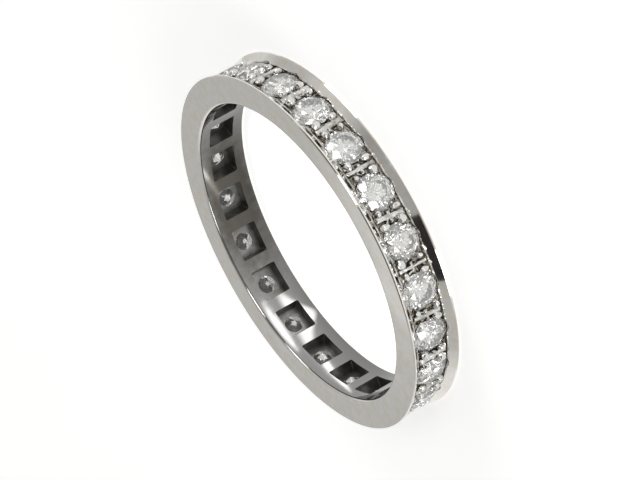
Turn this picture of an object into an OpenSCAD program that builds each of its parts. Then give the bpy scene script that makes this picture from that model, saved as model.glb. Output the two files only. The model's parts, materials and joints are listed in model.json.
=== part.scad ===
// Full eternity ring: a band of polished white metal, lying on its side, with round brilliant
// stones all the way round. Each stone sits in a bright-cut channel between two thin rails, is
// held by four grains of the band's own metal, and has a square window behind it.
// Millimetres. The origin is the centre of the finger hole on the face that the ring rests on,
// and the finger goes through along Z.

/* [Finger hole] */
// Diameter of the finger hole
hole_d = 17; // [15:0.1:20]
// Rounding of the hole's two edges, for comfort
hole_round = 0.16; // [0.08:0.01:0.24]

/* [Band] */
// Width of the band along the finger
band_w = 2.85; // [2.7:0.05:3.3]
// Thickness of the band from the hole to the top of its rails
band_t = 1.65; // [1.6:0.05:1.9]
// Bevel round the band's two outer edges
edge_bevel = 0.05; // [0.03:0.01:0.08]
// Flat top of each rail
rail_w = 0.1; // [0.06:0.01:0.14]
// Width of the bright-cut slope that runs down from each rail to the floor of the channel
slope_w = 0.36; // [0.25:0.01:0.42]
// Depth of the channel's floor below the rails
channel_depth = 0.55; // [0.45:0.01:0.6]

/* [Stones] */
// Number of stones all the way round; a much larger finger hole takes more of them
stone_count = 22; // [21:1:24]
// Diameter of each stone at its girdle
stone_d = 1.96; // [1.85:0.01:2.1]
// Height of the girdle's upper edge above the channel's floor
girdle_lift = 0.08; // [0.04:0.01:0.12]
// Thickness of the girdle as a share of the diameter
girdle_share = 0.03; // [0.025:0.001:0.04]
// Table's width across its corners as a share of the diameter
table_share = 0.57; // [0.53:0.01:0.62]
// Slope of the crown's kite facets
crown_angle = 34.5; // [32:0.5:36]
// Slope of the pavilion's main facets
pavilion_angle = 40.7; // [40:0.1:42]
// Reach of the star facets from the table's edge towards the girdle, as a share
star_share = 0.5; // [0.4:0.05:0.6]
// Reach of the lower halves from the girdle towards the point, as a share
lower_share = 0.77; // [0.7:0.01:0.85]
// Turn of each stone about its own axis, from the one before it
stone_turn = 17; // [0:1:44]

/* [Setting] */
// Clearance between a stone and the metal round it
seat_clearance = 0.02; // [0.01:0.005:0.03]
// Extra radius that the setter's burr opens in the slopes beside each stone
scallop = 0.07; // [0.03:0.01:0.1]
// Diameter of each grain that holds a stone
grain_d = 0.44; // [0.38:0.01:0.48]
// Diameter of the stump under a grain
grain_stump_d = 0.36; // [0.3:0.01:0.37]
// How far a grain reaches in over the stone's edge
grain_bite = 0.04; // [0.02:0.01:0.06]
// Height of a grain's centre above the channel's floor
grain_lift = 0.2; // [0.15:0.01:0.25]
// Angle of a grain round its stone, from the line of the stones
grain_angle = 27; // [24:1:30]
// Width across the top of the bar that is left between two pairs of grains
bar_top = 0.12; // [0.08:0.01:0.16]
// Width of that bar at the channel's floor
bar_foot = 0.3; // [0.24:0.01:0.34]
// Height of that bar above the channel's floor
bar_h = 0.2; // [0.12:0.01:0.24]

/* [Windows] */
// Width of each window along the finger
window_w = 1.5; // [1.2:0.01:1.6]
// Length of each window round the finger hole, behind its mouth
window_l = 1.62; // [1.3:0.01:1.7]
// How far the mouth flares at either end of a window
mouth_flare = 0.06; // [0.02:0.01:0.1]
// Depth of that flare from the finger hole
mouth_depth = 0.06; // [0.04:0.01:0.12]
// Depth of each window from the finger hole towards its stone
window_depth = 0.68; // [0.5:0.01:0.75]

/* [Hidden] */
$fn = 48;
// Cuts run this far past the surface that they open
past = 0.4;
// Raised metal starts this far inside the floor, to be one piece with it
root = 0.15;

hole_r = hole_d / 2;
rail_r = hole_r + band_t;
floor_r = rail_r - channel_depth;
channel_half = band_w / 2 - edge_bevel - rail_w - slope_w;

stone_r = stone_d / 2;
girdle_t = stone_d * girdle_share;
crown_base_r = floor_r + girdle_lift;
pitch_angle = 360 / stone_count;

// The table's corner radius, and the crown's height
table_r = stone_r * table_share;
crown_h = (stone_r - table_r) * tan(crown_angle);
// The stars' lower points lie on the kites' planes, half-way between two kites
half_angle = 22.5;
star_r = table_r * cos(half_angle) + star_share * (stone_r - table_r * cos(half_angle));
star_h = (stone_r - star_r * cos(half_angle)) * tan(crown_angle);
// The lower halves' inner points lie on the mains' planes
lower_r = stone_r * (1 - lower_share);
lower_h = (stone_r - lower_r * cos(half_angle)) * tan(pavilion_angle);
pavilion_h = stone_r * tan(pavilion_angle);
// Both rows of halves are drawn out past the girdle, which then cuts them round
rim_r = stone_r / cos(half_angle / 2) * 1.002;
upper_drop = (rim_r - stone_r) * star_h / (stone_r - star_r);
lower_rise = (rim_r - stone_r) * lower_h / (stone_r - lower_r);

// A grain's centre, from its stone's axis
grain_reach = stone_r + grain_d / 2 - grain_bite;
grain_along = grain_reach * cos(grain_angle);
grain_aside = grain_reach * sin(grain_angle);

STONES = [for (i = [1 : stone_count]) str("stone_", i < 10 ? "0" : "", i)];

// Puts children at stone i: Z points out of the ring, Y runs round it and X along the finger.
// Stone 1 faces -Y, and the others follow it anticlockwise.
module at_stone(i) {
    rotate([0, 0, i * pitch_angle - 90])
        translate([crown_base_r, 0, band_w / 2])
            rotate([0, 90, 0])
                children();
}

// Half of the band's section, from the middle of its width to one side face
module half_section() {
    side = band_w / 2;
    difference() {
        polygon([
            [hole_r, 0],
            [hole_r, side],
            [rail_r - edge_bevel, side],
            [rail_r, side - edge_bevel],
            [rail_r, side - edge_bevel - rail_w],
            [floor_r, channel_half],
            [floor_r, 0]
        ]);
        // The hole's edge, rounded
        difference() {
            translate([hole_r - past, side - hole_round])
                square([past + hole_round, past]);
            translate([hole_r + hole_round, side - hole_round])
                circle(hole_round);
        }
    }
}

// The turned band before any stone is set
module blank() {
    translate([0, 0, band_w / 2])
        rotate_extrude()
            union() {
                half_section();
                mirror([0, 1]) half_section();
            }
}

// The burr's round cut, which scallops the foot of both slopes beside a stone
module burr_cut() {
    translate([0, 0, -girdle_lift])
        cylinder(r = stone_r + scallop, h = channel_depth + past);
}

// One grain: a bead on a stump, standing on the channel's floor
module grain() {
    translate([0, 0, grain_lift - girdle_lift])
        sphere(d = grain_d);
    translate([0, 0, -girdle_lift - root])
        cylinder(d = grain_stump_d, h = grain_lift + root);
}

// The four grains round a stone
module grains() {
    for (aside = [-1, 1], along = [-1, 1])
        translate([aside * grain_aside, along * grain_along, 0])
            grain();
}

// The bar across the channel, half-way to the next stone
module bar() {
    rotate([0, 0, pitch_angle / 2])
        translate([crown_base_r, 0, band_w / 2])
            rotate([0, 90, 0])
                translate([-channel_half - slope_w / 4, 0, 0])
                    rotate([90, 0, 90])
                        linear_extrude(2 * channel_half + slope_w / 2)
                            polygon([
                                [-bar_foot / 2, -girdle_lift - root],
                                [bar_foot / 2, -girdle_lift - root],
                                [bar_foot / 2, -girdle_lift],
                                [bar_top / 2, bar_h - girdle_lift],
                                [-bar_top / 2, bar_h - girdle_lift],
                                [-bar_foot / 2, -girdle_lift]
                            ]);
}

// The room that a stone takes in the metal, clearance included, open at its top
module stone_room() {
    wide = stone_r + seat_clearance;
    rotate_extrude()
        polygon([
            [0, -girdle_t - pavilion_h - seat_clearance],
            [wide, -girdle_t - seat_clearance],
            [wide, seat_clearance],
            [table_r + seat_clearance, crown_h + seat_clearance],
            [table_r + seat_clearance, channel_depth + past],
            [0, channel_depth + past]
        ]);
}

// The square window behind a stone, cut from the finger hole, with a mouth that flares round the ring
module window() {
    wall = hole_r - crown_base_r;
    half = window_l / 2;
    translate([-window_w / 2, 0, 0])
        rotate([90, 0, 90])
            linear_extrude(window_w)
                polygon([
                    [-half - mouth_flare, wall - past],
                    [half + mouth_flare, wall - past],
                    [half + mouth_flare, wall],
                    [half, wall + mouth_depth],
                    [half, wall + window_depth],
                    [-half, wall + window_depth],
                    [-half, wall + mouth_depth],
                    [-half - mouth_flare, wall]
                ]);
}

module band() {
    color([0.79, 0.78, 0.75])
        difference() {
            union() {
                difference() {
                    blank();
                    for (i = [0 : stone_count - 1])
                        at_stone(i) burr_cut();
                }
                for (i = [0 : stone_count - 1]) {
                    at_stone(i) grains();
                    rotate([0, 0, i * pitch_angle - 90]) bar();
                }
            }
            for (i = [0 : stone_count - 1])
                at_stone(i) {
                    stone_room();
                    window();
                }
        }
}

// Splits a flat facet into triangles that share its first corner
function fan(facet) = [for (k = [1 : len(facet) - 2]) [facet[0], facet[k], facet[k + 1]]];

// One level of the stone's corners: eight or sixteen points round a circle
function ring(count, radius, height, start = 0) = [
    for (k = [0 : count - 1])
        let (a = start + k * 360 / count)
            [radius * cos(a), radius * sin(a), height]
];

// A round brilliant with 57 facets. The crown's base is at Z = 0 and the point is below.
module brilliant() {
    table = ring(8, table_r, crown_h);
    stars = ring(8, star_r, star_h, half_angle);
    kite_feet = ring(8, stone_r, 0);
    upper_rim = ring(16, rim_r, -upper_drop);
    lower_rim = ring(16, rim_r, -girdle_t + lower_rise);
    main_heads = ring(8, stone_r, -girdle_t);
    lowers = ring(8, lower_r, -girdle_t - lower_h, half_angle);
    point = [[0, 0, -girdle_t - pavilion_h]];
    corners = concat(table, stars, kite_feet, upper_rim, lower_rim, main_heads, lowers, point);

    // Where each level starts in the list of corners
    at_star = 8;
    at_foot = 16;
    at_upper = 24;
    at_lower = 40;
    at_head = 56;
    at_inner = 64;
    at_point = 72;

    facets = concat(
        [[for (k = [7 : -1 : 0]) k]],
        [for (k = [0 : 7]) [k, (k + 1) % 8, at_star + k]],
        [for (k = [0 : 7]) [k, at_star + k, at_foot + k, at_star + (k + 7) % 8]],
        [for (k = [0 : 7]) [at_star + k, at_upper + 2 * k + 1, at_upper + 2 * k, at_foot + k]],
        [for (k = [0 : 7])
            [at_star + k, at_foot + (k + 1) % 8, at_upper + (2 * k + 2) % 16, at_upper + 2 * k + 1]],
        [for (k = [0 : 15])
            [at_upper + k, at_upper + (k + 1) % 16, at_lower + (k + 1) % 16, at_lower + k]],
        [for (k = [0 : 7]) [at_inner + k, at_head + k, at_lower + 2 * k, at_lower + 2 * k + 1]],
        [for (k = [0 : 7])
            [at_inner + k, at_lower + 2 * k + 1, at_lower + (2 * k + 2) % 16, at_head + (k + 1) % 8]],
        [for (k = [0 : 7]) [at_head + k, at_inner + k, at_point, at_inner + (k + 7) % 8]]
    );
    intersection() {
        polyhedron(corners, [for (facet = facets) each fan(facet)], convexity = 2);
        translate([0, 0, -girdle_t - pavilion_h - past])
            cylinder(r = stone_r, h = girdle_t + pavilion_h + crown_h + 2 * past);
    }
}

module stone(i) {
    color([0.92, 0.93, 0.94])
        at_stone(i)
            rotate([0, 0, i * stone_turn])
                brilliant();
}

band();
for (i = [0 : stone_count - 1])
    stone(i);
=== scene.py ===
# %% [markdown]
# # A full eternity ring
# A band of polished white metal with small round brilliants set all the way round. The solids come
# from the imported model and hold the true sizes. This lesson remakes the band with softer, richer
# metalwork, gives the stones and the metal their finishes, and lights them as a small studio would.
#
# Every length is in metres, and `mm` turns the jeweller's millimetres into them. `slack` is how far
# a point may be off the place where it is looked for, and points within `merge_gap` become one.
# The tools are made facing -Y, so a face of theirs whose normal's Y is under `facing_out` looks out.

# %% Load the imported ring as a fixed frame
import json
import math

import bpy
from mathutils import Matrix, Vector

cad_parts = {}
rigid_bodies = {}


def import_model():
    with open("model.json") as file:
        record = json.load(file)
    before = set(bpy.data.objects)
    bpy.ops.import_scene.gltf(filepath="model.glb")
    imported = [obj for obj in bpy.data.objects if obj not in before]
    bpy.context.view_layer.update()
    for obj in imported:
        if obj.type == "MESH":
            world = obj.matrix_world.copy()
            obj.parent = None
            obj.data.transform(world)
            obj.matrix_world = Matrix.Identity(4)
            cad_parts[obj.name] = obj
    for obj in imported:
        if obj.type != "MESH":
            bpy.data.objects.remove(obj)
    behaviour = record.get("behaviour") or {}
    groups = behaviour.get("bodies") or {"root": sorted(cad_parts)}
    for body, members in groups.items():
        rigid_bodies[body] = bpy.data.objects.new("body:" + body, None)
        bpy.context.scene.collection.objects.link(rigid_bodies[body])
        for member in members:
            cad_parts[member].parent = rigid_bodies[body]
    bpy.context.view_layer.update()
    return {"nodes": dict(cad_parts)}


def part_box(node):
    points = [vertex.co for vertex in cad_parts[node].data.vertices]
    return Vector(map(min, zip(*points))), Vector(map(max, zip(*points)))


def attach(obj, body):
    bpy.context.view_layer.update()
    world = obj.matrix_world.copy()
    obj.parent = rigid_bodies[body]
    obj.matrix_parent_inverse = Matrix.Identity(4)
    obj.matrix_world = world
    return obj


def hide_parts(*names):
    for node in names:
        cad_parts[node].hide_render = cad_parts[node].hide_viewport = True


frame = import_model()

mm = 0.001
slack = 1e-6
merge_gap = 1e-7
quarter_turn = math.pi / 2
facing_out = -0.9
print("packed pieces:", len(frame["nodes"]))

# %% [markdown]
# ## Sizes
# The ring lies on its side, with the finger hole along Z, so every circle of the band is measured
# as a radius from the Z axis. The sizes repeat those of the solids. The band's box and a stone's
# box are printed next to them, so that a difference would show.

# %% Sizes of the band, in metres
hole_r = 8.5 * mm
floor_r = 9.6 * mm
rail_r = 10.15 * mm
width = 2.85 * mm
middle = width / 2
channel_half = 0.915 * mm
rail_w = 0.07 * mm
edge_bevel = 0.05 * mm
slope_w = width / 2 - edge_bevel - rail_w - channel_half
hole_round = 0.16 * mm
rail_chamfer = edge_bevel * 0.75
rail_chamfer_widening = 0.02 * mm
rail_inner_chamfer = 0.035 * mm

# The foot of the slope, and the step below it, each as a radius and half the channel's width there.
foot_r = 9.8 * mm
foot_half = 0.978 * mm
step_r = 9.785 * mm
step_half = 0.905 * mm

# %% Sizes of the stones and their setting, in metres
stones = sorted(name for name in frame["nodes"] if name.startswith("stone_"))
pitch = 2 * math.pi / len(stones)
girdle_r = 9.68 * mm
stone_r = 0.98 * mm
table_share = 0.57
girdle_share = 0.03
crown_angle = 34.5
pavilion_angle = 40.7
table_r = stone_r * table_share
crown_h = (stone_r - table_r) * math.tan(math.radians(crown_angle))
girdle_t = stone_r * 2 * girdle_share
pavilion_h = stone_r * math.tan(math.radians(pavilion_angle))
clearance = 0.02 * mm

low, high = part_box("band")
print("band, mm:", [round((b - a) / mm, 2) for a, b in zip(low, high)])
low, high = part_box(stones[0])
print("stone, mm:", [round((b - a) / mm, 2) for a, b in zip(low, high)], "of", len(stones))

# %% [markdown]
# ## Helpers
# Blender's operators act on what is selected, as hands would. These few helpers select by place,
# so that each later step reads as one move: pick, then shape.

# %% Helpers for picking
def only(piece):
    """Selects this piece alone and makes it the active one."""
    for other in bpy.context.selected_objects:
        other.select_set(False)
    piece.select_set(True)
    bpy.context.view_layer.objects.active = piece


def pick(piece, kind, test):
    """In edit mode, selects the vertices, edges or faces whose centre passes the test."""
    bpy.ops.object.mode_set(mode="OBJECT")
    mesh = piece.data
    for part in (mesh.vertices, mesh.edges, mesh.polygons):
        for item in part:
            item.select = False
    chosen = 0
    if kind == "VERT":
        for vert in mesh.vertices:
            vert.select = test(vert.co)
            chosen += vert.select
    if kind == "EDGE":
        for edge in mesh.edges:
            a, b = (mesh.vertices[i].co for i in edge.vertices)
            edge.select = test((a + b) / 2, a - b)
            chosen += edge.select
    if kind == "FACE":
        for face in mesh.polygons:
            face.select = test(face.center, face.normal)
            chosen += face.select
    bpy.context.tool_settings.mesh_select_mode = (kind == "VERT", kind == "EDGE", kind == "FACE")
    bpy.ops.object.mode_set(mode="EDIT")
    return chosen


# %% Helpers for finishing
def settle(piece):
    """Puts the piece's place into its mesh, so that its own origin is the world's."""
    only(piece)
    bpy.ops.object.transform_apply(location=True, rotation=True, scale=True)


def round_the_ring(piece, count, name):
    """Copies a piece round the finger hole, joins the copies and returns them as one piece."""
    copies = [piece]
    for i in range(1, count):
        copy = piece.copy()
        copy.data = piece.data.copy()
        copy.matrix_world = Matrix.Rotation(i * pitch, 4, "Z") @ piece.matrix_world
        bpy.context.scene.collection.objects.link(copy)
        copies.append(copy)
    only(piece)
    for copy in copies:
        copy.select_set(True)
    bpy.ops.object.join()
    piece.name = name
    settle(piece)
    return piece


def carve(piece, tool, how):
    """Adds or cuts a tool's shape with a Boolean, then throws the tool away."""
    only(piece)
    cut = piece.modifiers.new("work", "BOOLEAN")
    cut.operation, cut.object, cut.solver = how, tool, "MANIFOLD"
    bpy.ops.object.modifier_apply(modifier=cut.name)
    bpy.data.meshes.remove(tool.data)
    print(piece.name, how.lower(), "->", len(piece.data.polygons), "faces")


# %% [markdown]
# ## The band's blank
# The real band starts as a turned or cast hoop. Its section is a flat bar with two thin rails along
# the outside, and a slope from each rail down to the channel's floor. A lathe turns such a section
# round the axis, and Spin does the same here: the section is drawn once, as a flat outline, and
# spun round Z. It starts as a plane, its outer side is cut in three, and the two outer thirds are
# pulled out into the rails. The slope ends in a thin step above the floor, which catches the light.

# %% Draw the section
def side_of(at):
    """How far a point is from the band's middle plane."""
    return abs(at.z - middle)


def inner_edge(level):
    """Half the channel's width at this radius, just before that level is drawn."""
    if level < foot_r - slack:
        return channel_half + (foot_half - channel_half) * (level - floor_r) / (foot_r - floor_r)
    return channel_half + slope_w * (level - floor_r) / (rail_r - floor_r)


bpy.ops.object.select_all(action="DESELECT")
bpy.ops.mesh.primitive_plane_add(size=1, rotation=(quarter_turn, 0, 0))
band = bpy.context.object
band.name = "band_work"
bpy.ops.transform.resize(value=(floor_r - hole_r, 1, width))
band.location = ((hole_r + floor_r) / 2, 0, middle)
settle(band)

bpy.ops.object.mode_set(mode="EDIT")
for side in (-1, 1):
    bpy.ops.mesh.select_all(action="SELECT")
    bpy.ops.mesh.bisect(plane_co=(0, 0, middle + side * channel_half), plane_no=(0, 0, 1))
for side in (-1, 1):
    pick(band, "EDGE", lambda at, along: at.x > floor_r - slack and (at.z - middle) * side > channel_half)
    bpy.ops.mesh.extrude_region_move(TRANSFORM_OT_translate={"value": (rail_r - floor_r, 0, 0)})
    foot = middle + side * channel_half
    pick(band, "VERT", lambda at: at.x > rail_r - slack and abs(at.z - foot) < slack)
    bpy.ops.transform.translate(value=(0, 0, side * slope_w))
for level, half in ((foot_r, foot_half), (step_r, step_half)):
    pick(band, "FACE", lambda at, normal: True)
    bpy.ops.mesh.bisect(plane_co=(level, 0, 0), plane_no=(1, 0, 0), threshold=merge_gap)
    for side in (-1, 1):
        on_slope = lambda at: (at.z - middle) * side > 0 and side_of(at) < width / 2 - edge_bevel
        pick(band, "VERT", lambda at: abs(at.x - level) < slack and on_slope(at))
        bpy.ops.transform.translate(value=(0, 0, side * (half - inner_edge(level))))
bpy.ops.object.mode_set(mode="OBJECT")
print("section corners:", len(band.data.vertices))

# %% [markdown]
# A polished edge is never sharp: the buff takes it down to a small radius, which is what catches
# the light. The hole's two edges are rounded most, for comfort. The outer edges have a thin flat
# chamfer, a little wider on the rail's side, which mirrors the dark front of the room and shows as
# a dark line. The rails' inner edges have a still smaller one, for a thinner line.

# %% Round the section's corners
def soften(test, size, steps):
    """Bevels the section's corners that pass the test."""
    pick(band, "VERT", test)
    bpy.ops.mesh.bevel(offset=size, segments=steps, affect="VERTICES", clamp_overlap=False)


rail_edge = width / 2 - edge_bevel
soften(lambda at: at.x < hole_r + slack and side_of(at) > width / 2 - slack, hole_round, 7)
soften(lambda at: at.x > rail_r - slack and side_of(at) > width / 2 - slack, rail_chamfer, 1)
for side in (-1, 1):
    pick(band, "VERT", lambda at: at.x > rail_r - slack and (at.z - middle) * side > rail_edge)
    bpy.ops.transform.translate(value=(0, 0, -side * rail_chamfer_widening))
soften(lambda at: at.x > rail_r - slack and side_of(at) < rail_edge - rail_w + slack, rail_inner_chamfer, 1)
pick(band, "FACE", lambda at, normal: True)
bpy.ops.mesh.dissolve_faces()
bpy.ops.mesh.delete(type="ONLY_FACE")
bpy.ops.object.mode_set(mode="OBJECT")
print("section points:", len(band.data.vertices), "edges:", len(band.data.edges))

# %% [markdown]
# Now the lathe's turn. The section is an open outline of edges, and Spin sweeps it round Z in equal
# steps. The last copy lies on the first, so the two are merged into one closed hoop.

# %% Spin the section round the finger hole
steps_per_stone = 12
turn_steps = len(stones) * steps_per_stone
pick(band, "EDGE", lambda at, along: True)
bpy.ops.mesh.spin(steps=turn_steps, angle=2 * math.pi, center=(0, 0, 0), axis=(0, 0, 1))
bpy.ops.mesh.select_all(action="SELECT")
bpy.ops.mesh.remove_doubles(threshold=merge_gap)
bpy.ops.mesh.normals_make_consistent(inside=False)
bpy.ops.object.mode_set(mode="OBJECT")
print("blank faces:", len(band.data.polygons))

# %% [markdown]
# ## Tools for the setting
# A setter works round the ring with the same few tools. Each is modelled once where the first stone
# sits, facing -Y, and copied round the ring. First comes the burr, a round cutter that opens the
# channel for each stone and bites a scallop out of both slopes.

# %% The burr
burr_r = 1.015 * mm
burr_length = 1 * mm
burr_flare = 1.05
bpy.ops.object.select_all(action="DESELECT")
bpy.ops.mesh.primitive_cylinder_add(vertices=72, radius=burr_r, depth=burr_length,
                                    rotation=(quarter_turn, 0, 0),
                                    location=(0, -floor_r - burr_length / 2, middle))
burr = bpy.context.object
settle(burr)
pick(burr, "FACE", lambda at, normal: normal.y < facing_out)
bpy.ops.transform.resize(value=(burr_flare, 1, burr_flare))
bpy.ops.object.mode_set(mode="OBJECT")
carve(band, round_the_ring(burr, len(stones), "burrs"), "DIFFERENCE")

# %% [markdown]
# Between each two stones the setter leaves a little cross of metal: a bar across the channel, and a
# shorter one along it. Both have worn, rounded tops that mirror the bright table as a light line.
# Each is a box whose top is pulled in and bevelled, and no two copies lie quite alike.

# %% Put a raised shape round the ring, each copy a little different
def wobble(i, k):
    """A steady pseudo-random number from -1 to 1."""
    return 2 * ((math.sin(i * 12.9898 + k * 78.233) * 43758.5453) % 1) - 1


def raise_all(piece, places, name):
    """Copies a shape to each place, joins the copies and adds them to the band."""
    copies = []
    for place in places:
        copy = piece.copy()
        copy.data = piece.data.copy()
        bpy.context.scene.collection.objects.link(copy)
        copy.matrix_world = place
        copies.append(copy)
    only(copies[0])
    for copy in copies:
        copy.select_set(True)
    bpy.ops.object.join()
    copies[0].name = name
    settle(copies[0])
    bpy.data.meshes.remove(piece.data)
    carve(band, copies[0], "UNION")


root = 0.05 * mm
across_taper = 0.93
along_taper = 0.86
top_rim = 0.01 * mm


def ridge(across, along, top, height):
    """A bar with slanting sides, rooted a little in the channel's floor and facing -Y."""
    bpy.ops.object.select_all(action="DESELECT")
    bpy.ops.mesh.primitive_cube_add(size=1, location=(0, (root - height) / 2, 0))
    bar = bpy.context.object
    bar.scale = (along, height + root, across)
    settle(bar)
    pick(bar, "FACE", lambda at, normal: normal.y < facing_out)
    share = top / min(along, across)
    taper = (share, 1, across_taper) if along < across else (along_taper, 1, share)
    bpy.ops.transform.resize(value=taper)
    pick(bar, "EDGE", lambda at, way: at.y < top_rim - height)
    bpy.ops.mesh.bevel(offset=top * 0.4, segments=5)
    bpy.ops.object.mode_set(mode="OBJECT")
    return bar


# %% The cross between two stones
def gap_places(k, turn, slide):
    """A place in the middle of each gap, turned, slid and sized by its own small amount."""
    for i in range(len(stones)):
        here = Matrix.Translation((wobble(i, k) * slide, -floor_r, middle + wobble(i, k + 1) * slide))
        skew = Matrix.Rotation(wobble(i, k + 2) * turn, 4, "Y")
        size = Matrix.Diagonal((1 + 0.3 * wobble(i, k + 3), 1, 1 + 0.05 * wobble(i, k + 4), 1))
        yield Matrix.Rotation((i + 0.5) * pitch, 4, "Z") @ here @ skew @ size


bar = ridge(across=1.78 * mm, along=0.38 * mm, top=0.3 * mm, height=0.25 * mm)
raise_all(bar, gap_places(10, turn=math.radians(7), slide=0.03 * mm), "bars")
arm = ridge(across=0.3 * mm, along=0.7 * mm, top=0.2 * mm, height=0.22 * mm)
raise_all(arm, gap_places(20, turn=math.radians(10), slide=0.06 * mm), "arms")

# %% [markdown]
# The graver that frees the cross leaves small chips and burrs beside it. They are the same kind of
# bar, much smaller, and each lies at an angle of its own, so that no corner of the channel is empty.

# %% Chips the graver left beside the cross
chips_per_gap = 5


def corner_of(n):
    """Which way a copy's corner lies from the middle: along the ring, and across it."""
    return (1 if n % 2 else -1), (1 if n // 2 % 2 else -1)


def uneven(n, k, spreads):
    """A size for copy n, off by up to these shares along the three axes."""
    return Matrix.Diagonal([1 + spread * wobble(n, k + axis) for axis, spread in enumerate(spreads)] + [1])


def chip_places():
    """Places in the four corners of each gap, at any angle and of many sizes."""
    for n in range(chips_per_gap * len(stones)):
        gap = n // chips_per_gap
        to_side, to_rim = corner_of(n % chips_per_gap)
        along = to_side * (0.2 + 0.05 * wobble(n, 31)) * mm
        aside = to_rim * (0.42 + 0.3 * wobble(n, 32)) * mm
        here = Matrix.Translation((along, -floor_r, middle + aside))
        skew = Matrix.Rotation(wobble(n, 33) * math.pi / 2, 4, "Y")
        yield Matrix.Rotation((gap + 0.5) * pitch, 4, "Z") @ here @ skew @ uneven(n, 34, (0.35, 0.3, 0.3))


chip = ridge(across=0.13 * mm, along=0.36 * mm, top=0.07 * mm, height=0.17 * mm)
raise_all(chip, chip_places(), "chips")

# %% [markdown]
# ## The grains
# Four grains hold each stone. They are curls of the band's own metal, pushed over the stone's edge
# and rounded with a hollow punch, so each is a shiny bead on a short stump. No two are quite alike.
# The bead is a sphere, flattened a little on top, and its stump is its lower half pulled down.

# %% One grain
bead_r = 0.24 * mm
stump_length = 0.22 * mm
bpy.ops.object.select_all(action="DESELECT")
bpy.ops.mesh.primitive_uv_sphere_add(segments=20, ring_count=12, radius=bead_r,
                                     rotation=(quarter_turn, 0, 0))
grain = bpy.context.object
settle(grain)
pick(grain, "FACE", lambda at, normal: at.y > bead_r * 0.3)
bpy.ops.mesh.extrude_region_move(TRANSFORM_OT_translate={"value": (0, stump_length, 0)})
bpy.ops.transform.resize(value=(1, 0.3, 1))
pick(grain, "VERT", lambda at: at.y < -bead_r * 0.8)
bpy.ops.transform.resize(value=(1.1, 0.85, 1.1))
bpy.ops.object.mode_set(mode="OBJECT")

# %% Four grains round each stone
bead_overlap = 0.07 * mm
reach = stone_r + bead_r - bead_overlap
lean = math.radians(27)


def grain_places():
    """Places at four corners of each stone, each a little off, lifted and uneven in size."""
    for n in range(4 * len(stones)):
        to_side, to_rim = corner_of(n)
        along = to_side * math.cos(lean) * reach + wobble(n, 1) * 0.03 * mm
        aside = to_rim * math.sin(lean) * reach + wobble(n, 3) * 0.04 * mm
        lift = (0.11 + 0.04 * wobble(n, 2)) * mm
        here = Matrix.Translation((along, -floor_r - lift, middle + aside))
        yield Matrix.Rotation(n // 4 * pitch, 4, "Z") @ here @ uneven(n, 4, (0.28, 0.08, 0.28))


raise_all(grain, grain_places(), "grains")

# %% [markdown]
# ## The seats and the windows
# Each stone rests in a cone that matches its lower half. The setter cuts it through the grains too,
# so that they close round the stone's edge. The cutter is a cone with the girdle's wall, the crown's
# slope and a straight way out extruded from its rim, each a little larger than the stone.

# %% The seat cutter
seat_r = stone_r + clearance
seat_depth = pavilion_h + 0.01 * mm
seat_top = -girdle_r + girdle_t + clearance
mouth_share = (table_r + clearance) / seat_r
way_out = 0.6 * mm
bpy.ops.object.select_all(action="DESELECT")
bpy.ops.mesh.primitive_cone_add(vertices=64, radius1=seat_r, radius2=0, depth=seat_depth,
                                rotation=(-quarter_turn, 0, 0),
                                location=(0, seat_top + seat_depth / 2, middle))
seat = bpy.context.object
settle(seat)
pick(seat, "FACE", lambda at, normal: normal.y < facing_out)
bpy.ops.mesh.extrude_region_move(TRANSFORM_OT_translate={"value": (0, -girdle_t - 2 * clearance, 0)})
bpy.ops.mesh.extrude_region_move(TRANSFORM_OT_translate={"value": (0, -crown_h, 0)})
bpy.ops.transform.resize(value=(mouth_share, 1, mouth_share))
bpy.ops.mesh.extrude_region_move(TRANSFORM_OT_translate={"value": (0, -way_out, 0)})
bpy.ops.mesh.select_all(action="SELECT")
bpy.ops.mesh.normals_make_consistent(inside=False)
bpy.ops.object.mode_set(mode="OBJECT")
print("seat from r", round(-max(v.co.y for v in seat.data.vertices) / mm, 3), "mm")
carve(band, round_the_ring(seat, len(stones), "seats"), "DIFFERENCE")

# %% [markdown]
# Behind each stone a square window is sawn from inside the ring, to let light into the stone. Its
# mouth is wider than its floor and has rounded corners, so the cutter is a box with its upright
# edges bevelled and its outer end pulled in.

# %% The window cutter
window_w = 1.5 * mm
window_l = 1.74 * mm
window_floor = 9.15 * mm
window_corner = 0.09 * mm
inward = 0.2 * mm
bpy.ops.object.select_all(action="DESELECT")
bpy.ops.mesh.primitive_cube_add(size=1, location=(0, -(hole_r + window_floor) / 2 + inward, middle))
window = bpy.context.object
window.scale = (window_l, window_floor - hole_r + 2 * inward, window_w)
settle(window)
pick(window, "EDGE", lambda at, way: abs(way.y) > 0.5 * mm)
bpy.ops.mesh.bevel(offset=window_corner, segments=5)
pick(window, "FACE", lambda at, normal: normal.y < facing_out)
bpy.ops.transform.resize(value=(0.94, 1, 0.94))
bpy.ops.object.mode_set(mode="OBJECT")
carve(band, round_the_ring(window, len(stones), "windows"), "DIFFERENCE")

# %% [markdown]
# A cut can part a crumb from a grain, as it does on the bench. All that hangs together with the
# flat side face is the band, and the rest is brushed away.

# %% Brush away any crumb that a cut has parted from the band
pick(band, "FACE", lambda at, normal: at.z < slack)
bpy.ops.mesh.select_linked()
bpy.ops.mesh.select_all(action="INVERT")
bpy.ops.mesh.delete(type="VERT")
bpy.ops.object.mode_set(mode="OBJECT")
print("band without crumbs:", len(band.data.polygons), "faces")

# %% [markdown]
# ## Smooth and flat
# Curved walls must shade smoothly and cut edges must stay crisp, so every edge sharper than a
# chosen angle is kept. Weighted Normal then lets the large flat faces win over the small rounded
# ones beside them, or the slopes would mirror as if they were bent. It weighs faces in square
# metres, which a ring hardly has, so the band is enlarged for this one step. Afterwards it stands
# for its plain solid and rides with it.

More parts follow.
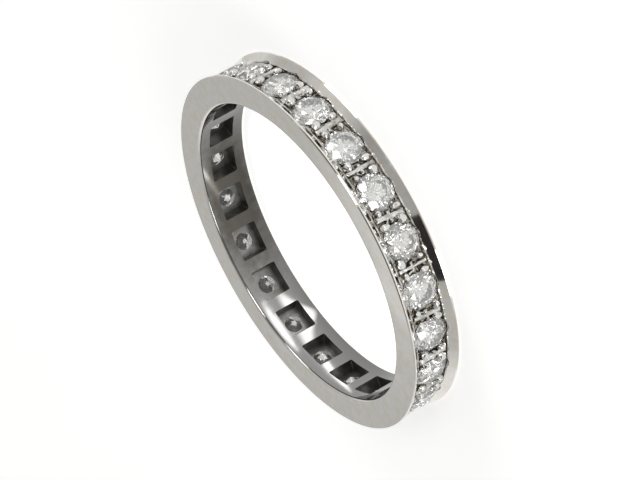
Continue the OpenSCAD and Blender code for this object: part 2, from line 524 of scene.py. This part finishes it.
# %% Finish the band
sharp_from = math.radians(20)
only(band)
bpy.ops.object.shade_smooth_by_angle(angle=sharp_from)
band.scale = (1 / mm, 1 / mm, 1 / mm)
settle(band)
weigh = band.modifiers.new("even shading", "WEIGHTED_NORMAL")
weigh.keep_sharp = True
bpy.ops.object.modifier_apply(modifier=weigh.name)
band.scale = (mm, mm, mm)
settle(band)
band.name = band.data.name = "eternity_band"
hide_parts("band")
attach(band, "root")
print("band triangles:", sum(len(p.vertices) - 2 for p in band.data.polygons))

# %% [markdown]
# ## White metal
# Polished white gold or platinum mirrors the room with a faint warm grey. What makes it real is
# what breaks the mirror: broad soft waves from the buff, and hairline scratches from wear. Both are
# noise on Object coordinates, and the Bevel node rounds the cut edges in shading alone, so that
# they catch the light as buffed edges do.

# %% Helpers for materials
def shader(name):
    """A new material and its Principled shader."""
    material = bpy.data.materials.new(name)
    material.use_nodes = True
    return material, material.node_tree.nodes["Principled BSDF"]


def node(material, kind, **values):
    """Adds a node and sets its values: sockets by name with spaces as underscores."""
    made = material.node_tree.nodes.new(kind)
    for key, value in values.items():
        if hasattr(made, key):
            setattr(made, key, value)
        else:
            made.inputs[key.replace("_", " ")].default_value = value
    return made


def join(material, source, out, target, into):
    """Links one node's output to another's input."""
    material.node_tree.links.new(source.outputs[out], target.inputs[into])


def ramp_between(ramp, start, first, end, last):
    """Sets a colour ramp's two stops: a place from 0 to 1 and a colour for each."""
    low_stop, high_stop = ramp.color_ramp.elements
    low_stop.position, low_stop.color = start, first
    high_stop.position, high_stop.color = end, last


# %% The metal
clean_tint = (1, 0.99, 0.965)
dirt_and_shade_tint = (1, 0.93, 0.82)
hairline_scale = 9000
hairline_stretch = (1, 1, 7)
stain_scale = 2600
buffed_edge = 0.006 * mm
scratch_depth = 0.005 * mm
buff_waves = (220, 0.12, 0.2)


def tinted(tone, tint):
    """A grey of this lightness with a tint, as a colour."""
    return [tone * share for share in tint] + [1]


def white_metal(name, tone, low, high, dirt_and_shade, cut=buff_waves, fade=None):
    """White metal of this lightness, whose roughness wanders between low and high.

    Dirt and painted shade darken it to the given share of its tone. The waves in cut have a scale,
    a strength and a depth in mm.
    """
    metal, polish = shader(name)
    polish.inputs["Metallic"].default_value = 1
    where = node(metal, "ShaderNodeTexCoord")
    waves = node(metal, "ShaderNodeTexNoise", Scale=cut[0], Detail=1)
    hairlines = node(metal, "ShaderNodeTexNoise", Scale=hairline_scale, Detail=3)
    stretch = node(metal, "ShaderNodeMapping", Scale=hairline_stretch)
    sheen = node(metal, "ShaderNodeMapRange", To_Min=low, To_Max=high)
    edges = node(metal, "ShaderNodeBevel", samples=4, Radius=buffed_edge)
    swell = node(metal, "ShaderNodeBump", Strength=cut[1], Distance=cut[2] * mm)
    scratch = node(metal, "ShaderNodeBump", Strength=0.025, Distance=scratch_depth)
    stain = node(metal, "ShaderNodeTexNoise", Scale=stain_scale, Detail=4)
    colour = node(metal, "ShaderNodeValToRGB")
    ramp_between(colour, 0.3, tinted(tone * dirt_and_shade, dirt_and_shade_tint), 0.62, tinted(tone, clean_tint))
    for texture in (waves, stain):
        join(metal, where, "Object", texture, "Vector")
    join(metal, where, "Object", stretch, "Vector")
    join(metal, stretch, "Vector", hairlines, "Vector")
    join(metal, stain, "Fac", colour, "Fac")
    if fade:
        fade(metal, where, stain, colour)
    join(metal, colour, "Color", polish, "Base Color")
    join(metal, hairlines, "Fac", sheen, "Value")
    join(metal, sheen, "Result", polish, "Roughness")
    join(metal, waves, "Fac", swell, "Height")
    join(metal, hairlines, "Fac", scratch, "Height")
    join(metal, edges, "Normal", swell, "Normal")
    join(metal, swell, "Normal", scratch, "Normal")
    join(metal, scratch, "Normal", polish, "Normal")
    return metal


# %% [markdown]
# Dirt gathers where a cloth can't reach, and painted shade is mixed into it in two places: on the
# channel's floor between the grains, darker the deeper it lies, and round one place on the ring's
# inside wall. In the channel the darkening goes by the radius, and inside the ring by the distance
# from that place. The noise that makes the stain breaks it up.

# %% Dirt and painted shade by place
def fade_by(centre, weights, lightest_at, darkest_at, reach, mottle):
    """Shifts the stain's ramp: dirt and painted shade grow from one weighted distance to the other.

    The weights scale the three axes, reach is how far the ramp moves, and mottle is the noise's share.
    """
    mean = 0.5 * (1 - mottle)

    def fade(metal, where, stain, colour):
        axes = node(metal, "ShaderNodeVectorMath", operation="MULTIPLY_ADD")
        axes.inputs[1].default_value = weights
        axes.inputs[2].default_value = [-c * w for c, w in zip(centre, weights)]
        length = node(metal, "ShaderNodeVectorMath", operation="LENGTH")
        rise = node(metal, "ShaderNodeMapRange", From_Min=darkest_at, From_Max=lightest_at)
        rise.inputs["To Min"].default_value = mean - reach
        rise.inputs["To Max"].default_value = mean + reach
        mixed = node(metal, "ShaderNodeMath", operation="MULTIPLY_ADD")
        mixed.inputs[1].default_value = mottle
        join(metal, where, "Object", axes, 0)
        join(metal, axes, "Vector", length, 0)
        join(metal, length, "Value", rise, "Value")
        join(metal, stain, "Fac", mixed, 0)
        join(metal, rise, "Result", mixed, 2)
        join(metal, mixed, "Value", colour, "Fac")
    return fade


# Painted shade in the channel: the floor between the grains gets darker the deeper it lies.
recess_shade = fade_by(centre=(0, 0, 0), weights=(1, 1, 0), lightest_at=10.03 * mm, darkest_at=9.62 * mm,
                    reach=0.3, mottle=1)
# Painted shade on the inside wall: it darkens round one place on the wall.
wall_spot_shade = fade_by(centre=(4.9 * mm, 6.9 * mm, middle), weights=(0.2, 0.2, 0.6), lightest_at=1.5 * mm,
                  darkest_at=0.5 * mm, reach=0.25, mottle=0.25)

# %% The four finishes of the metal
graver_marks = (5200, 1, 0.1)
# The recess finish carries painted shade that grows the deeper it lies, under its dirt.
# The worn inside finish carries a spot of painted shade.
finishes = (white_metal("white metal, polished", tone=0.8, low=0.04, high=0.1, dirt_and_shade=0.985),
            white_metal("white metal, worn inside, painted shade", tone=0.195, low=0.07, high=0.15, dirt_and_shade=0.4, fade=wall_spot_shade),
            white_metal("white metal, sawn windows", tone=0.2, low=0.3, high=0.5, dirt_and_shade=0.65),
            white_metal("white metal, recess, painted shade", tone=0.68, low=0.05, high=0.14, dirt_and_shade=0.43,
                        cut=graver_marks, fade=recess_shade))
band.data.materials.clear()
for metal in finishes:
    band.data.materials.append(metal)
polished, worn, sawn, recessed = range(len(finishes))
print("finishes of the metal:", len(finishes))

# %% [markdown]
# A ring is polished where a wheel reaches it. The finger hole is worn, with a spot of painted shade,
# the windows keep the saw's marks, and the recess between the stones keeps the graver's and painted
# shade. Each place is picked by its radius and its distance from the band's middle plane.

# %% Give each place its finish
def radius(at):
    """How far a point is from the Z axis."""
    return math.hypot(at.x, at.y)


def finish(number, test):
    """Gives the faces that pass the test this finish; the others keep the polish they start with."""
    chosen = pick(band, "FACE", test)
    band.active_material_index = number
    bpy.ops.object.material_slot_assign()
    bpy.ops.object.mode_set(mode="OBJECT")
    print(band.data.materials[number].name, "faces:", chosen)


wall_r = hole_r + 0.02 * mm
wall_half = width / 2 - 0.03 * mm
window_top = window_floor + 0.3 * mm
window_half = window_w / 2 + 0.01 * mm
recess_r = floor_r - 0.06 * mm
recess_half = channel_half - 0.01 * mm
ledge_half = foot_half - 0.01 * mm
only(band)
finish(worn, lambda at, normal: radius(at) < wall_r and side_of(at) < wall_half)
finish(sawn, lambda at, normal: wall_r < radius(at) < window_top and side_of(at) < window_half)
finish(recessed, lambda at, normal: radius(at) > recess_r and side_of(at) < recess_half)
finish(recessed, lambda at, normal: floor_r < radius(at) < foot_r and side_of(at) < ledge_half)

# %% [markdown]
# ## The stones
# A brilliant is clear all through. Its sparkle comes from light that enters the crown, bounces off
# the lower facets and comes back out, which needs a true refractive index of 2.417 and flat facets.
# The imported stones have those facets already, so they stay and only take the finish.

# %% The stones' finish
refraction = 2.417
cloud_dim = (0.67, 0.672, 0.66, 1)
cloud_bright = (0.935, 0.928, 0.905, 1)
clear, facets = shader("brilliant, clear")
facets.inputs["Transmission Weight"].default_value = 0.88
facets.inputs["IOR"].default_value = refraction
facets.inputs["Roughness"].default_value = 0
inside = node(clear, "ShaderNodeTexCoord")
cloud = node(clear, "ShaderNodeTexNoise", Scale=9000, Detail=3)
tint = node(clear, "ShaderNodeValToRGB")
ramp_between(tint, 0.3, cloud_dim, 0.6, cloud_bright)
wear = node(clear, "ShaderNodeTexNoise", Scale=8000, Detail=1)
ripple = node(clear, "ShaderNodeBump", Strength=0.35, Distance=0.01 * mm)
join(clear, inside, "Object", cloud, "Vector")
join(clear, inside, "Object", wear, "Vector")
join(clear, cloud, "Fac", tint, "Fac")
join(clear, tint, "Color", facets, "Base Color")
join(clear, wear, "Fac", ripple, "Height")
join(clear, ripple, "Normal", facets, "Normal")
for name in stones:
    stone = frame["nodes"][name]
    stone.data.materials.clear()
    stone.data.materials.append(clear)
print("stones dressed:", len(stones))

# %% [markdown]
# ## The studio
# The ring lies on a pale lit table. The room round it is a soft grey tent, darker overhead, so the
# side faces mirror an even grey and the stones have something dark to play against. One dark card
# hangs overhead, and its reflection is the black patch on the far slope.
#
# The table comes first. Its glow is painted light in its own emission: brighter in the middle of the
# ring, as if the polished inside of the ring threw light onto it, with two painted bright spots. The
# spots show in the ring's far wall as a bright frame round a window.

# %% The table
bpy.ops.object.select_all(action="DESELECT")
bpy.ops.mesh.primitive_plane_add(size=3)
floor = bpy.context.object
floor.name = "table"
paper, matt = shader("pale paper, painted glow")
matt.inputs["Base Color"].default_value = (0.85, 0.85, 0.845, 1)
matt.inputs["Roughness"].default_value = 0.9
matt.inputs["Specular IOR Level"].default_value = 0.1
matt.inputs["Emission Color"].default_value = (1, 1, 1, 1)
place = node(paper, "ShaderNodeTexCoord")


def patch(at, turn, size, rise, strength):
    """A soft oval of light on the table, in mm and degrees.

    It rises between two shares of the way in from the rim to the middle, from one strength to another.
    """
    oval = node(paper, "ShaderNodeMapping", vector_type="TEXTURE", Location=(at[0] * mm, at[1] * mm, 0),
                Rotation=(0, 0, math.radians(turn)))
    oval.inputs["Scale"].default_value = (size[0] * mm, size[1] * mm, 1)
    way_in = node(paper, "ShaderNodeTexGradient", gradient_type="SPHERICAL")
    light = node(paper, "ShaderNodeMapRange", From_Min=rise[0], From_Max=rise[1],
                 To_Min=strength[0], To_Max=strength[1])
    join(paper, place, "Object", oval, "Vector")
    join(paper, oval, "Vector", way_in, "Vector")
    join(paper, way_in, "Fac", light, "Value")
    return light


def sum_of(first, out, second):
    """Adds a patch's light to what is there."""
    total = node(paper, "ShaderNodeMath", operation="ADD")
    join(paper, first, out, total, 0)
    join(paper, second, "Result", total, 1)
    return total


ring_glow = patch(at=(-0.3, -0.2), turn=0, size=(10.6, 10.8), rise=(0.06, 0.4), strength=(0.46, 0.95))
long_spot = patch(at=(-0.95, 6.15), turn=-49, size=(2.2, 0.42), rise=(0, 0.5), strength=(0, 6))
short_spot = patch(at=(1.3, 3.15), turn=78, size=(1.15, 0.5), rise=(0, 0.4), strength=(0, 8))
table_light = sum_of(sum_of(ring_glow, "Result", long_spot), "Value", short_spot)
join(paper, table_light, "Value", matt, "Emission Strength")
floor.data.materials.append(paper)

# %% [markdown]
# The tent is the world's own light, whose tone goes by height, with one ramp behind the ring and
# one in front. A small light panel low behind the ring is mirrored in the flat side face, and three
# larger ones further round are mirrored in the far slope.

# %% The tent
tent_warmth = 0.985
room = bpy.data.worlds.new("tent")
bpy.context.scene.world = room
room.use_nodes = True
tent = room.node_tree
sky = tent.nodes["Background"]
way = tent.nodes.new("ShaderNodeTexCoord")
height = tent.nodes.new("ShaderNodeSeparateXYZ")
tent.links.new(way.outputs["Generated"], height.inputs["Vector"])


def wall(tones):
    """A wall of the tent whose tone goes by height, from 0 at the table to 1 overhead."""
    shade = tent.nodes.new("ShaderNodeValToRGB")
    stops = shade.color_ramp.elements
    while len(stops) < len(tones):
        stops.new(0.5)
    for stop, (level, tone) in zip(stops, tones):
        stop.position, stop.color = level, (tone, tone, tone * tent_warmth, 1)
    tent.links.new(height.outputs["Z"], shade.inputs["Fac"])
    return shade


back_wall = wall([(0.0, 0.7), (0.2, 0.54), (0.42, 0.53), (0.7, 0.55), (0.9, 0.44), (1.0, 0.42)])
front_wall = wall([(0.0, 1.1), (0.3, 0.95), (0.44, 0.12), (0.86, 0.12), (0.93, 0.42), (1.0, 0.42)])
front = tent.nodes.new("ShaderNodeVectorMath")
front.operation = "DOT_PRODUCT"
front.inputs[1].default_value = (-0.05, -1, 0)
frontness = tent.nodes.new("ShaderNodeMapRange")
frontness.inputs["From Min"].default_value = 0.1
frontness.inputs["From Max"].default_value = 0.4
walls = tent.nodes.new("ShaderNodeMix")
walls.data_type = "RGBA"
tent.links.new(way.outputs["Generated"], front.inputs[0])
tent.links.new(front.outputs["Value"], frontness.inputs["Value"])
tent.links.new(frontness.outputs["Result"], walls.inputs["Factor"])
tent.links.new(back_wall.outputs["Color"], walls.inputs[6])
tent.links.new(front_wall.outputs["Color"], walls.inputs[7])
print("nodes of the tent:", len(tent.nodes))

# %% The light panels
def panel(azimuth, elevation, full, none, gain, under):
    """A soft round light panel on what lies under it. All angles are in degrees.

    Azimuth 0 is +Y and turns toward +X. The panel is full bright up to one angle from its middle,
    and ends at the other.
    """
    a, e = math.radians(azimuth), math.radians(elevation)
    angle = tent.nodes.new("ShaderNodeVectorMath")
    angle.operation = "DOT_PRODUCT"
    angle.inputs[1].default_value = (math.sin(a) * math.cos(e), math.cos(a) * math.cos(e), math.sin(e))
    glow = tent.nodes.new("ShaderNodeMapRange")
    glow.inputs["From Min"].default_value = math.cos(math.radians(none))
    glow.inputs["From Max"].default_value = math.cos(math.radians(full))
    glow.inputs["To Max"].default_value = gain
    total = tent.nodes.new("ShaderNodeVectorMath")
    total.operation = "ADD"
    tent.links.new(way.outputs["Generated"], angle.inputs[0])
    tent.links.new(angle.outputs["Value"], glow.inputs["Value"])
    tent.links.new(under, total.inputs[0])
    tent.links.new(glow.outputs["Result"], total.inputs[1])
    return total.outputs["Vector"]


# Each panel's azimuth, elevation, full angle, end angle and brightness.
panels = ((3.4, 23.8, 0.7, 1.9, 0.23),
          (-32, 12, 5, 33, 0.36),
          (91, 51, 4, 20, 0.17),
          (41, 15, 3, 14, 0.2))
light = walls.outputs[2]
for numbers in panels:
    light = panel(*numbers, light)
tent.links.new(light, sky.inputs["Color"])
print("light panels:", len(panels))

# %% [markdown]
# Three soft round lamps stand in front of the ring, at the left, at the right and a little higher in
# the middle. They make the sparks in the stones and on the grains.

# %% The lamps
def toward(azimuth, elevation, distance):
    """A point seen from the ring at this azimuth (0 is -Y) and elevation, in degrees."""
    a, e = math.radians(azimuth), math.radians(elevation)
    return Vector((math.sin(a) * math.cos(e), -math.cos(a) * math.cos(e), math.sin(e))) * distance


lamp_distance = 0.6


def lamp(name, azimuth, elevation, size, watts):
    """A round soft lamp that faces the ring."""
    light = bpy.data.lights.new(name, "AREA")
    light.shape, light.size, light.energy = "DISK", size, watts
    holder = bpy.data.objects.new(name, light)
    bpy.context.scene.collection.objects.link(holder)
    holder.location = toward(azimuth, elevation, lamp_distance)
    holder.rotation_mode = "QUATERNION"
    holder.rotation_quaternion = holder.location.to_track_quat("Z", "Y")


lamp("soft lamp left", azimuth=-56, elevation=18, size=0.3, watts=1.0)
lamp("soft lamp front", azimuth=14, elevation=36, size=0.22, watts=0.5)
lamp("soft lamp right", azimuth=62, elevation=18, size=0.3, watts=0.8)

# %% [markdown]
# The card is a plain black sheet over the ring. The far slope leans so that it mirrors this part of
# the room, and the card's long side is turned until its image lies along the slope.

# %% The dark card
card_length = 0.22
card_width = 0.075
card_height = 0.45
bpy.ops.object.select_all(action="DESELECT")
bpy.ops.mesh.primitive_plane_add(size=1)
card = bpy.context.object
card.name = "dark_card"
card.scale = (card_length, card_width, 1)
upward = Vector((-0.385, -0.187, 0.903)).normalized()
length = Vector((-0.381, 0.263, -0.108)).normalized()
across = upward.cross(length).normalized()
length = across.cross(upward)
turn = Matrix((length, across, upward)).transposed()
card.rotation_mode = "QUATERNION"
card.rotation_quaternion = turn.to_quaternion()
card.location = upward * card_height
black, dull = shader("black card")
dull.inputs["Base Color"].default_value = (0.012, 0.01, 0.01, 1)
dull.inputs["Roughness"].default_value = 1
card.data.materials.append(black)

# %% [markdown]
# ## The camera
# A long lens from 23 cm away, 22 degrees above the table and rolled far over, so that the ring
# stands as it does in the picture.

# %% The camera
camera_azimuth = -4.2
camera_elevation = 22.4
roll = math.radians(-119.4)
distance = 230.7 * mm
shift_right = 0.125 * mm
shift_up = 0.061 * mm
back = toward(camera_azimuth, camera_elevation, 1)
level = Vector((0, 0, 1)).cross(back).normalized()
right = level * math.cos(roll) + back.cross(level) * math.sin(roll)
up = back.cross(right)
lens = bpy.data.cameras.new("long lens")
lens.sensor_width, lens.lens = 36, 253
lens.clip_start, lens.clip_end = 0.01, 10
camera = bpy.data.objects.new("camera", lens)
bpy.context.scene.collection.objects.link(camera)
aim = Vector((0, 0, middle)) + right * shift_right + up * shift_up
facing = Matrix((right, up, back)).transposed().to_4x4()
camera.matrix_world = Matrix.Translation(aim + back * distance) @ facing
bpy.context.scene.camera = camera
bpy.context.scene.view_settings.view_transform = "Standard"
print("camera at, mm:", [round(c / mm, 1) for c in camera.location])
